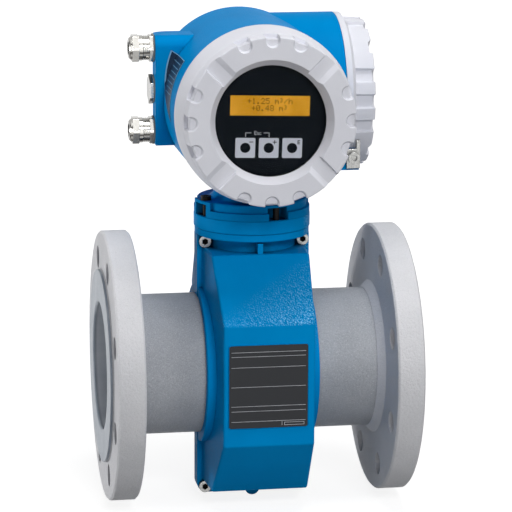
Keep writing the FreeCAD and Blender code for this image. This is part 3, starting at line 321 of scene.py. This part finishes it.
def pebbled(name, light, dark, glint_tone, grain_shade_tone):
    """Casting paint over a pebbled skin: smooth on most walls, coarse low on the slope, with painted
    glints and painted shade on the grains' sides, and painted shade in recesses.
    """
    look = Look(name, Specular_IOR_Level=0.006)
    patches = look.fit(look.noise(16.0, 4.0), 0.3, 0.7)
    fine = look.noise(900.0, 3.0)
    grain, near, step = 820.0, 1.5, 0.35 * MM
    lumps = look.noise(grain, near)
    side = look.math("SUBTRACT", lumps, look.noise(grain, near, shift=(step, 0.0, step)))
    # the mask below puts the pebble relief, with its painted glints and painted shade, towards the
    # lower right of the slope
    across = look.fit(look.along("X"), -SLOPE_HALF, SLOPE_HALF)
    down = look.fit(look.along("Z"), SLOPE_TOP, SLOPE_LOW)
    reach = look.math("ADD", look.math("MULTIPLY", across, 0.60), look.math("MULTIPLY", down, 0.75))
    pebble_and_glint_mask = look.fit(reach, 0.60, 1.30)
    for axis, none, full in SLOPE_FADES:
        pebble_and_glint_mask = look.math("MULTIPLY", pebble_and_glint_mask, look.fit(look.along(axis), none, full))
    flank = look.math("MULTIPLY", look.fit(look.along("X"), *FLANK_FADE_X),
                      look.fit(look.along("Z"), *FLANK_FADE_Z, 0.0, 0.45))
    pebble_and_glint_mask = look.math("MAXIMUM", pebble_and_glint_mask, flank)
    # painted light: grains' sides facing one way are lightened towards a glint tone, the other sides
    # darkened towards a shade tone
    painted_lit_grains = look.math("MULTIPLY", look.fit(side, 0.02, 0.16), pebble_and_glint_mask)
    painted_dark_grains = look.math("MULTIPLY", look.fit(side, -0.02, -0.16), pebble_and_glint_mask)
    tone = look.blend(painted_dark_grains, look.blend(painted_lit_grains, look.blend(patches, dark, light), glint_tone), grain_shade_tone)
    height = look.math("ADD", look.math("MULTIPLY", lumps, pebble_and_glint_mask), look.math("MULTIPLY", fine, 0.2))
    # painted shade: darker in recesses
    look.set(Base_Color=look.painted_recess_shade(tone, 0.012, 0.9), Roughness=look.fit(fine, 0.3, 0.7, 0.32, 0.42),
             Normal=look.bump(height, 0.6 * MM, edge=0.8 * MM))
    return look


def hammered(name, light, dark, roughness, speckle):
    """Coated steel with a grainy, slightly pitted skin of fine light and dark specks."""
    look = Look(name, Specular_IOR_Level=0.12)
    pits = look.fit(look.cells(420.0), 0.0, 0.6)
    grit = look.noise(1150.0, 3.0, 0.7)
    patches = look.fit(look.noise(14.0, 5.0), 0.32, 0.68)
    base = look.blend(patches, dark, light)
    lifted = look.blend(look.math("MULTIPLY", look.fit(grit, 0.54, 0.70), speckle), base, rgb("FFFFFF"))
    tone = look.blend(look.math("MULTIPLY", look.fit(grit, 0.46, 0.30), speckle), lifted, rgb("55585E"))
    height = look.math("ADD", look.math("MULTIPLY", pits, 0.6), grit)
    # painted shade: darker in recesses
    look.set(Base_Color=look.painted_recess_shade(tone, 0.010, 0.55),
             Roughness=look.fit(grit, 0.3, 0.7, roughness - 0.08, roughness + 0.08),
             Normal=look.bump(height, 0.35 * MM, edge=0.7 * MM))
    return look


FLARE_FADE = (0.1215, 0.1235)                # distance from the middle where the flare begins


def sleeve():
    """Moulded lining: greyer on the flared sealing faces, pale inside the bore."""
    look = Look("lining", Specular_IOR_Level=0.35)
    fine = look.noise(700.0, 3.0)
    face = look.fit(look.math("ABSOLUTE", look.along("X")), *FLARE_FADE)
    streaks = look.fit(look.noise(60.0, 3.0, 0.5, (0.3, 1, 1)), 0.35, 0.65)
    bore = look.blend(streaks, rgb("C9CFD8"), rgb("DADFE6"))
    flare = look.blend(streaks, rgb("828C99"), rgb("929BA6"))
    look.set(Base_Color=look.blend(face, bore, flare), Roughness=look.fit(fine, 0.3, 0.7, 0.30, 0.40),
             Normal=look.bump(fine, 0.03 * MM, edge=0.8 * MM))
    return look


def painted_reflection_plating(name, bright, dark):
    """Bright plating with painted reflections: light and dark bands by which way the surface faces,
    like a polished turning mirroring its surroundings, and darker where it faces along X.
    """
    look = Look(name, Metallic=1.0)
    wave = look.math("MULTIPLY", look.math("SUBTRACT", look.noise(90.0, 2.0), 0.5), 0.07)
    turn = look.math("ADD", look.fit(look.facing("Z"), -1.0, 1.0), wave)
    middle = tuple((a + b) / 2 for a, b in zip(bright, dark))
    # painted reflection: the ramp's bands stand for bright and dark surroundings mirrored in the metal
    tone = look.ramp(turn, [(0.0, middle), (0.14, dark), (0.26, middle), (0.36, dark),
                            (0.42, middle), (0.52, bright), (0.62, bright), (0.68, dark),
                            (0.75, bright), (0.92, middle)])
    # painted reflection: faces turned along X are darkened
    painted_dark_ends = look.fit(look.math("ABSOLUTE", look.facing("X")), 0.35, 0.95, 0.0, 0.8)
    tone = look.blend(painted_dark_ends, tone, dark)
    streak = look.noise(300.0, 3.0)
    look.set(Base_Color=tone, Roughness=look.fit(streak, 0.3, 0.7, 0.10, 0.18),
             Normal=look.bump(streak, 0.01 * MM, edge=0.3 * MM))
    return look


def painted_reflection_steel(name, bright, dark):
    """Turned steel head with painted reflection: bright where it faces the front and up, dark on its
    sides.
    """
    look = Look(name, Metallic=1.0)
    # painted reflection: tone follows how far the surface faces the front and up
    front = look.math("ADD", look.math("MULTIPLY", look.facing("Y"), -1.0),
                      look.math("MULTIPLY", look.facing("Z"), 0.45))
    smudge = look.math("MULTIPLY", look.math("SUBTRACT", look.noise(600.0, 3.0), 0.5), 0.9)
    tone = look.blend(look.fit(look.math("ADD", front, smudge), 0.1, 1.25), dark, bright)
    look.set(Base_Color=tone, Roughness=look.fit(look.noise(500.0), 0.3, 0.7, 0.2, 0.34),
             Normal=look.bump(look.noise(500.0), 0.01 * MM, edge=0.7 * MM))
    return look


def metal(name, color, roughness):
    """Plain metal with slow stains and a fine grain."""
    look = Look(name, Metallic=1.0)
    streak = look.noise(260.0, 4.0, 0.6)
    stain = look.fit(look.noise(60.0, 3.0), 0.35, 0.7)
    dull = tuple(c * 0.72 for c in color[:3]) + (1.0,)
    look.set(Base_Color=look.blend(stain, color, dull),
             Roughness=look.fit(streak, 0.3, 0.7, roughness - 0.05, roughness + 0.08),
             Normal=look.bump(streak, 0.01 * MM))
    return look


def plastic(name, color, roughness, gloss=0.25):
    """Moulded plastic, rubber or print: slow change of tone and a fine grain."""
    look = Look(name, Specular_IOR_Level=gloss)
    fine = look.noise(700.0, 3.0)
    darker = tuple(c * 0.85 for c in color[:3]) + (1.0,)
    look.set(Base_Color=look.blend(look.noise(40.0), color, darker),
             Roughness=look.fit(fine, 0.3, 0.7, roughness - 0.05, roughness + 0.05),
             Normal=look.bump(fine, 0.04 * MM))
    return look


def backlit(name):
    """Amber display panel, lit from behind, a little uneven in tone."""
    look = Look(name, Specular_IOR_Level=0.02, Roughness=0.4, Emission_Strength=0.3)
    uneven = look.fit(look.noise(45.0, 2.0), 0.35, 0.65)
    tone = look.blend(uneven, rgb("C98E1E"), rgb("DDA030"))
    look.set(Base_Color=tone, Emission_Color=tone, Normal=look.bump(look.noise(900.0), 0.01 * MM))
    return look


def clear_glass():
    """Coated window: almost invisible face on, with reflections that grow towards its edge."""
    look = Look("window_glass", Base_Color=(0.02, 0.03, 0.03, 1.0), Specular_IOR_Level=0.4)
    edge = look.add("ShaderNodeLayerWeight", {"Blend": 0.35}).outputs["Facing"]
    look.set(Roughness=look.fit(look.noise(30.0), 0.3, 0.7, 0.02, 0.05),
             Alpha=look.fit(look.math("POWER", edge, 3.0), 0.0, 1.0, 0.04, 0.85))
    return look


LOOKS = {
    "flange_coat": hammered("flange_coat", rgb("DEDEE2"), rgb("D0D1D5"), 0.5, 0.16),
    "tube_coat": hammered("tube_coat", rgb("B6B9BE"), rgb("A0A3A9"), 0.5, 0.3),
    "lining": sleeve(),
    # the casing's third colour is a painted glint tone and its fourth a painted shade tone for the
    # grains
    "casing_blue": pebbled("casing_blue", rgb("0091D6"), rgb("0088CC"), rgb("8FD0F2"), rgb("0068A8")),
    # the housing blue's last argument sets painted shade in its recesses
    "housing_blue": coated("housing_blue", rgb("0089CC"), rgb("0082C4"), 0.38, gloss=0.004,
                           recess_shade=0.8),
    "cover_white": coated("cover_white", rgb("E1E2E9"), rgb("DADBE3"), 0.45),
    "stainless": painted_reflection_steel("stainless", rgb("B6B6B4"), rgb("1C1C1D")),
    "black_steel": metal("black_steel", rgb("1D1C1B"), 0.5),
    "rubber": plastic("rubber", rgb("202124"), 0.7),
    "iron": metal("iron", rgb("6A6A6C"), 0.5),
    "coil_tape": plastic("coil_tape", rgb("C8963C"), 0.5),
    "dark_plate": plastic("dark_plate", rgb("26282C"), 0.4),
    "glass": clear_glass(),
    "black_plastic": plastic("black_plastic", rgb("080D15"), 0.45, gloss=0.02),
    "amber": backlit("amber"),
    "pale_key": plastic("pale_key", rgb("DCE0EC"), 0.4, gloss=0.05),
    "board_green": plastic("board_green", rgb("1C5A34"), 0.4),
    "terminal_grey": plastic("terminal_grey", rgb("6E7276"), 0.5),
    "terminal_plated": metal("terminal_plated", rgb("B8B6AA"), 0.3),
    "nickel": painted_reflection_plating("nickel", rgb("F2F0EA"), rgb("2E2B28")),
    "washer_grey": plastic("washer_grey", rgb("8C8C88"), 0.6),
    "lcd_dots": plastic("lcd_dots", rgb("6B3F05"), 0.6, gloss=0.02),
    "key_print": plastic("key_print", rgb("15171C"), 0.6, gloss=0.05),
    "pale_print": plastic("pale_print", rgb("C9CCD2"), 0.5, gloss=0.05),
    "label_print": plastic("label_print", rgb("7DB2D6"), 0.5, gloss=0.05),
    "label_dark": plastic("label_dark", rgb("1B3048"), 0.4, gloss=0.1),
    # socket_black is painted shade for the holes in the screw heads
    "socket_black": plastic("socket_black", rgb("08090B"), 0.6, gloss=0.05),
}


def paint_frame():
    """Every CAD node gets the look of its record slot."""
    slots = {part["node"]: part["material_slot"] for part in frame["record"]["subparts"]}
    for name, node in NODES.items():
        node.data.materials.clear()
        node.data.materials.append(LOOKS[slots[name]].material)


# ---------------------------------------------------------------- printed and fitted details
PRINT_PROUD = 0.04 * MM          # how far printed marks stand out of their surface
DISPLAY_TILT = math.radians(1.65)
KEY_PITCH, KEY_DROP = 18.5 * MM, 22.0 * MM
LCD_RISE = 11.2 * MM             # from the display's axis up to the panel's centre
LCD_GLYPHS = {                   # rows of five dots, top to bottom, as binary numbers
    "+": (0, 4, 4, 31, 4, 4, 0),
    ".": (0, 0, 0, 0, 0, 12, 12),
    "/": (0, 1, 2, 4, 8, 16, 0),
    "0": (14, 17, 19, 21, 25, 17, 14),
    "1": (4, 12, 4, 4, 4, 4, 14),
    "2": (14, 17, 1, 2, 4, 8, 31),
    "4": (2, 6, 10, 18, 31, 2, 2),
    "5": (31, 16, 30, 1, 1, 17, 14),
    "8": (14, 17, 17, 14, 17, 17, 14),
    "m": (0, 0, 26, 21, 21, 17, 17),
    "h": (16, 16, 22, 25, 17, 17, 17),
    "\u00b3": (12, 2, 4, 2, 12, 0, 0)}
RULE_SHARES = (0.078, 0.132, 0.262, 0.500, 0.735, 0.795, 0.920)   # down the nameplate
SOCKET_DEPTH = 2.4 * MM

LABEL_SKIN = 0.12 * MM
LABEL_BODY_RISE, LABEL_LINE_RISE = 0.2 * MM, 0.3 * MM
LABEL_RADIUS = 70.05 * MM        # just outside the drum's skin
LABEL_FRONT = -25.0 * MM         # the label's front edge
LABEL_WALL = 12.0 * MM           # the gland box's near wall, where the label folds
LABEL_TOP, LABEL_LOW = 146.0, 187.6          # angles round the drum, in degrees
LABEL_FOLD, LABEL_LAST = 170.0, 188.0        # between these angles the rear edge swings forward
LABEL_FLAP = 7.0 * MM
LABEL_SWING = 37.0 * MM
LABEL_ROWS, LABEL_COLUMNS = 42, 24
LABEL_BORDER_TOP, LABEL_BORDER_FRONT, LABEL_BORDER_REAR = 146.5, 0.022, 0.975
LINE_FIRST, LINE_PITCH, LINE_WIDTH, LINE_COUNT = 150.0, 3.4, 0.28, 7
LINE_LEFT, LINE_RIGHT, LINE_SHORTER = 0.12, 0.88, 0.06


def centre_of(node):
    low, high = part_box(node)
    return (Vector(low) + Vector(high)) / 2


def mesh_from(shape, name):
    """Turns a bmesh into a mesh with its faces turned outwards."""
    bmesh.ops.recalc_face_normals(shape, faces=shape.faces)
    mesh = bpy.data.meshes.new(name)
    shape.to_mesh(mesh)
    shape.free()
    return mesh


def add_piece(name, mesh, look, body):
    """Adds a piece with one look, riding on a body of the part."""
    piece = bpy.data.objects.new(name, mesh)
    bpy.context.collection.objects.link(piece)
    mesh.materials.clear()
    mesh.materials.append(LOOKS[look].material)
    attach(piece, body)
    return piece


def tiles(name, rectangles):
    """Mesh of thin raised tiles, each (x0, x1, z0, z1), facing -Y with its back at y = 0."""
    shape = bmesh.new()
    for x0, x1, z0, z1 in rectangles:
        corners = ((x0, z0), (x1, z0), (x1, z1), (x0, z1))
        back = [shape.verts.new((x, 0.0, z)) for x, z in corners]
        front = [shape.verts.new((x, -PRINT_PROUD, z)) for x, z in corners]
        shape.faces.new(front)
        shape.faces.new(back[::-1])
        for i in range(4):
            j = (i + 1) % 4
            shape.faces.new((back[i], back[j], front[j], front[i]))
    return mesh_from(shape, name)


def letters(name, words, height):
    """Mesh of a word in the plain built-in face, centred on the origin and facing -Y."""
    curve = bpy.data.curves.new(name, "FONT")
    curve.body = words
    curve.size = height / 0.7
    curve.extrude = PRINT_PROUD / 2
    curve.align_x = "CENTER"
    curve.align_y = "CENTER"
    carrier = bpy.data.objects.new(name + "_curve", curve)
    bpy.context.collection.objects.link(carrier)
    mesh = bpy.data.meshes.new_from_object(carrier)
    bpy.data.objects.remove(carrier)
    mesh.transform(Matrix.Rotation(math.radians(90), 4, "X"))
    return mesh


def display_matrix(node, x=0.0, z=0.0):
    """Places a mesh on the front of a display node, x and z from the display's axis, tilted with it."""
    axis = centre_of("display_fascia")
    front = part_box(node)[0][1]
    turn = Matrix.Rotation(DISPLAY_TILT, 4, "Y")
    return Matrix.Translation((axis.x, front, axis.z)) @ turn @ Matrix.Translation((x, 0.0, z))


def dot_row(text, left, top):
    """Dots of one line of the panel's text, each a small tile."""
    step_x, step_z, pitch, fill = 0.60 * MM, 0.66 * MM, 3.6 * MM, 0.9
    dots = []
    for place, letter in enumerate(text):
        for row, bits in enumerate(LCD_GLYPHS.get(letter, ())):
            for column in range(5):
                if bits >> (4 - column) & 1:
                    x = left + place * pitch + column * step_x
                    z = top - row * step_z
                    dots.append((x, x + step_x * fill, z - step_z * fill, z))
    return dots


def lcd_text():
    """A made-up reading in two lines of dot characters."""
    line = 5.55 * MM
    low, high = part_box("lcd_panel")
    top = (high[2] - low[2]) / 2 - 2.9 * MM
    mesh = tiles("lcd_text", dot_row("+1.25 m\u00b3/h", -17.9 * MM, top)
                 + dot_row("+0.48 m\u00b3", -14.4 * MM, top - line))
    mesh.transform(display_matrix("lcd_panel", 0.0, LCD_RISE))
    add_piece("lcd_text", mesh, "lcd_dots", "display_unit")


def key_marks():
    """Minus, plus and enter marks in the corners of the three keys."""
    thick, arm = 0.62 * MM, 1.6 * MM
    mark_x, mark_z, enter_half = 4.6 * MM, 4.6 * MM, 1.0 * MM
    half = thick / 2
    minus_x, plus_x, enter_x = -KEY_PITCH + mark_x, mark_x, KEY_PITCH + 5.1 * MM
    bars = [(minus_x - arm, minus_x + arm, -half, half), (plus_x - arm, plus_x + arm, -half, half),
            (plus_x - half, plus_x + half, half, arm), (plus_x - half, plus_x + half, -arm, -half)]
    left, right = enter_x - enter_half, enter_x + enter_half
    bars += [(left, left + thick, -arm, arm)]
    bars += [(left + thick, right, z - half, z + half) for z in (half - arm, 0.0, arm - half)]
    marks = tiles("key_marks", bars)
    marks.transform(display_matrix("key_fields", 0.0, mark_z - KEY_DROP))
    add_piece("key_marks", marks, "key_print", "display_unit")


def escape_legend():
    """Word over the first two keys, with the bracket that joins them."""
    line, foot, reach = 0.5 * MM, -3.3 * MM, 4.4 * MM
    bracket = []
    for x, side in ((-KEY_PITCH, 1), (0.0, -1)):
        bracket.append((x - line / 2, x + line / 2, foot, line / 2))
        bracket.append((*sorted((x + side * line / 2, x + side * reach)), -line / 2, line / 2))
    frame_lines = tiles("escape_bracket", bracket)
    frame_lines.transform(display_matrix("display_fascia", 0.0, 11.8 * MM - KEY_DROP))
    add_piece("escape_bracket", frame_lines, "pale_print", "display_unit")
    word = letters("escape_word", "Esc", 3.2 * MM)
    word.transform(display_matrix("display_fascia", 0.3 * MM - KEY_PITCH / 2, 11.6 * MM - KEY_DROP))
    add_piece("escape_word", word, "pale_print", "display_unit")


def nameplate_print():
    """Bare plate with thin ruling lines and one empty box."""
    low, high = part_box("nameplate")
    margin, line = 1.6 * MM, 0.32 * MM
    height = high[2] - low[2]
    x0, x1 = low[0] + margin, high[0] - margin
    levels = [high[2] - share * height for share in RULE_SHARES]
    rules = [(x0, x1, z - line / 2, z + line / 2) for z in levels]
    split = x0 + 0.68 * (x1 - x0)
    rules.append((split, split + line, low[2] + margin, levels[-1] - line))
    left, right = split + 2.0 * MM, x1 - 1.0 * MM
    bottom, top = low[2] + margin, levels[-1] - 1.3 * MM
    rules += [(left, right, bottom, bottom + line), (left, right, top - line, top),
              (left, left + line, bottom + line, top - line),
              (right - line, right, bottom + line, top - line)]
    mesh = tiles("nameplate_rules", rules)
    mesh.transform(Matrix.Translation((0.0, low[1], 0.0)))
    add_piece("nameplate_rules", mesh, "pale_print", "sensor")


def nameplate_rim():
    """Low cast bead round the plate's edge."""
    low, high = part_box("nameplate")
    out, proud, corner, steps = 0.9 * MM, 0.7 * MM, 1.6 * MM, 5
    left, right = low[0] + corner, high[0] - corner
    bottom, top = low[2] + corner, high[2] - corner
    ring = []
    for cx, cz, start in ((right, top, 0), (left, top, 90), (left, bottom, 180), (right, bottom, 270)):
        for i in range(steps + 1):
            a = math.radians(start + 90 * i / steps)
            ring.append((cx, cz, math.cos(a), math.sin(a)))
    shape = bmesh.new()
    back = high[1]
    loops = []
    for grow, depth in ((0.06 * MM, 0.0), (0.15 * MM, proud), (0.45 * MM, proud * 1.15), (out, 0.0)):
        r = corner + grow
        loops.append([shape.verts.new((cx + r * ca, back - depth, cz + r * sa))
                      for cx, cz, ca, sa in ring])
    for inner, outer in zip(loops, loops[1:] + loops[:1]):
        for i in range(len(ring)):
            j = (i + 1) % len(ring)
            shape.faces.new((inner[i], inner[j], outer[j], outer[i]))
    add_piece("nameplate_rim", mesh_from(shape, "nameplate_rim"), "housing_blue", "sensor")


def label_point(axis, angle, across, proud):
    """Point of the side label, where across runs from its front edge round the drum to the box."""
    radius, wall = LABEL_RADIUS + proud, LABEL_WALL - proud
    swing = max(0.0, (angle - LABEL_FOLD) / (LABEL_LAST - LABEL_FOLD))
    rear = wall - LABEL_SWING * swing ** 1.2
    flat = LABEL_FLAP * max(0.0, (LABEL_FOLD - angle) / (LABEL_FOLD - LABEL_TOP))
    run = (rear - LABEL_FRONT + flat) * across
    on_drum = min(run, rear - LABEL_FRONT)
    out = radius + run - on_drum
    a = math.radians(angle)
    return Vector((axis.x + out * math.cos(a), LABEL_FRONT + on_drum, axis.z + out * math.sin(a)))


def label_strip(shape, angles, shares, proud):
    """Adds one band of the label, as a thin closed skin over the angles and shares of its width."""
    axis = centre_of("display_fascia")
    skins = [[[shape.verts.new(label_point(axis, a, u, height)) for u in shares] for a in angles]
             for height in (proud, proud - LABEL_SKIN)]
    for rows in skins:
        for above, below in zip(rows, rows[1:]):
            for i in range(len(shares) - 1):
                shape.faces.new((above[i], above[i + 1], below[i + 1], below[i]))
    rims = [rows[0] + [row[-1] for row in rows[1:]] + rows[-1][-2::-1]
            + [row[0] for row in rows[-2:0:-1]] for rows in skins]
    for i in range(len(rims[0])):
        shape.faces.new((rims[0][i - 1], rims[0][i], rims[1][i], rims[1][i - 1]))


def spread(first, last, count):
    return [first + (last - first) * i / count for i in range(count + 1)]


def side_label():
    """Label folded from the drum's flank on to the gland box, in place of the CAD's plain one."""
    shape = bmesh.new()
    rows = spread(LABEL_TOP, LABEL_LOW, LABEL_ROWS)
    label_strip(shape, rows, spread(0.0, 1.0, LABEL_COLUMNS), LABEL_BODY_RISE)
    base = add_piece("label_body", mesh_from(shape, "label_body"), "label_dark", "transmitter")
    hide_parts("side_label")


def side_label_lines():
    """Pale border and ruling lines on the side label."""
    shape = bmesh.new()
    rows = spread(LABEL_TOP, LABEL_LOW, LABEL_ROWS)
    label_strip(shape, (LABEL_TOP, LABEL_BORDER_TOP), spread(0.0, 1.0, LABEL_COLUMNS),
                LABEL_LINE_RISE)
    label_strip(shape, rows, (0.0, LABEL_BORDER_FRONT), LABEL_LINE_RISE)
    label_strip(shape, rows, (LABEL_BORDER_REAR, 1.0), LABEL_LINE_RISE)
    for i in range(LINE_COUNT):
        angle = LINE_FIRST + LINE_PITCH * i
        right = LINE_RIGHT - LINE_SHORTER * (i % 3)
        label_strip(shape, (angle, angle + LINE_WIDTH), spread(LINE_LEFT, right, 20),
                    LABEL_LINE_RISE)
    add_piece("label_lines", mesh_from(shape, "label_lines"), "label_print", "transmitter")


def socket_shade_linings():
    """Painted shade: dark hexagon linings in the holes of the casing screws' heads, standing for the
    shade inside them.
    """
    low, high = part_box("casing_screws")
    head, across, sunk = 4.9 * MM, 4.45 * MM, 0.35 * MM
    corner = across / math.sqrt(3)
    rings = ((0.90, SOCKET_DEPTH), (0.94, sunk), (1.0, sunk), (1.0, SOCKET_DEPTH + 0.2 * MM))
    turns = [math.radians(60 * i) for i in range(6)]
    shape = bmesh.new()
    for x in (low[0] + head, high[0] - head):
        for z in (low[2] + head, high[2] - head):
            loops = [[shape.verts.new((x + corner * share * math.cos(turn), low[1] + depth,
                                       z + corner * share * math.sin(turn))) for turn in turns]
                     for share, depth in rings]
            for near, far in zip(loops, loops[1:]):
                for i in range(6):
                    shape.faces.new((near[i - 1], near[i], far[i], far[i - 1]))
            shape.faces.new(loops[0])
            shape.faces.new(loops[-1])
    add_piece("socket_shade_linings", mesh_from(shape, "socket_shade_linings"), "socket_black", "sensor")


look_camera()
studio()
floor()
paint_frame()
lcd_text()
key_marks()
escape_legend()
nameplate_print()
nameplate_rim()
side_label()
side_label_lines()
socket_shade_linings()
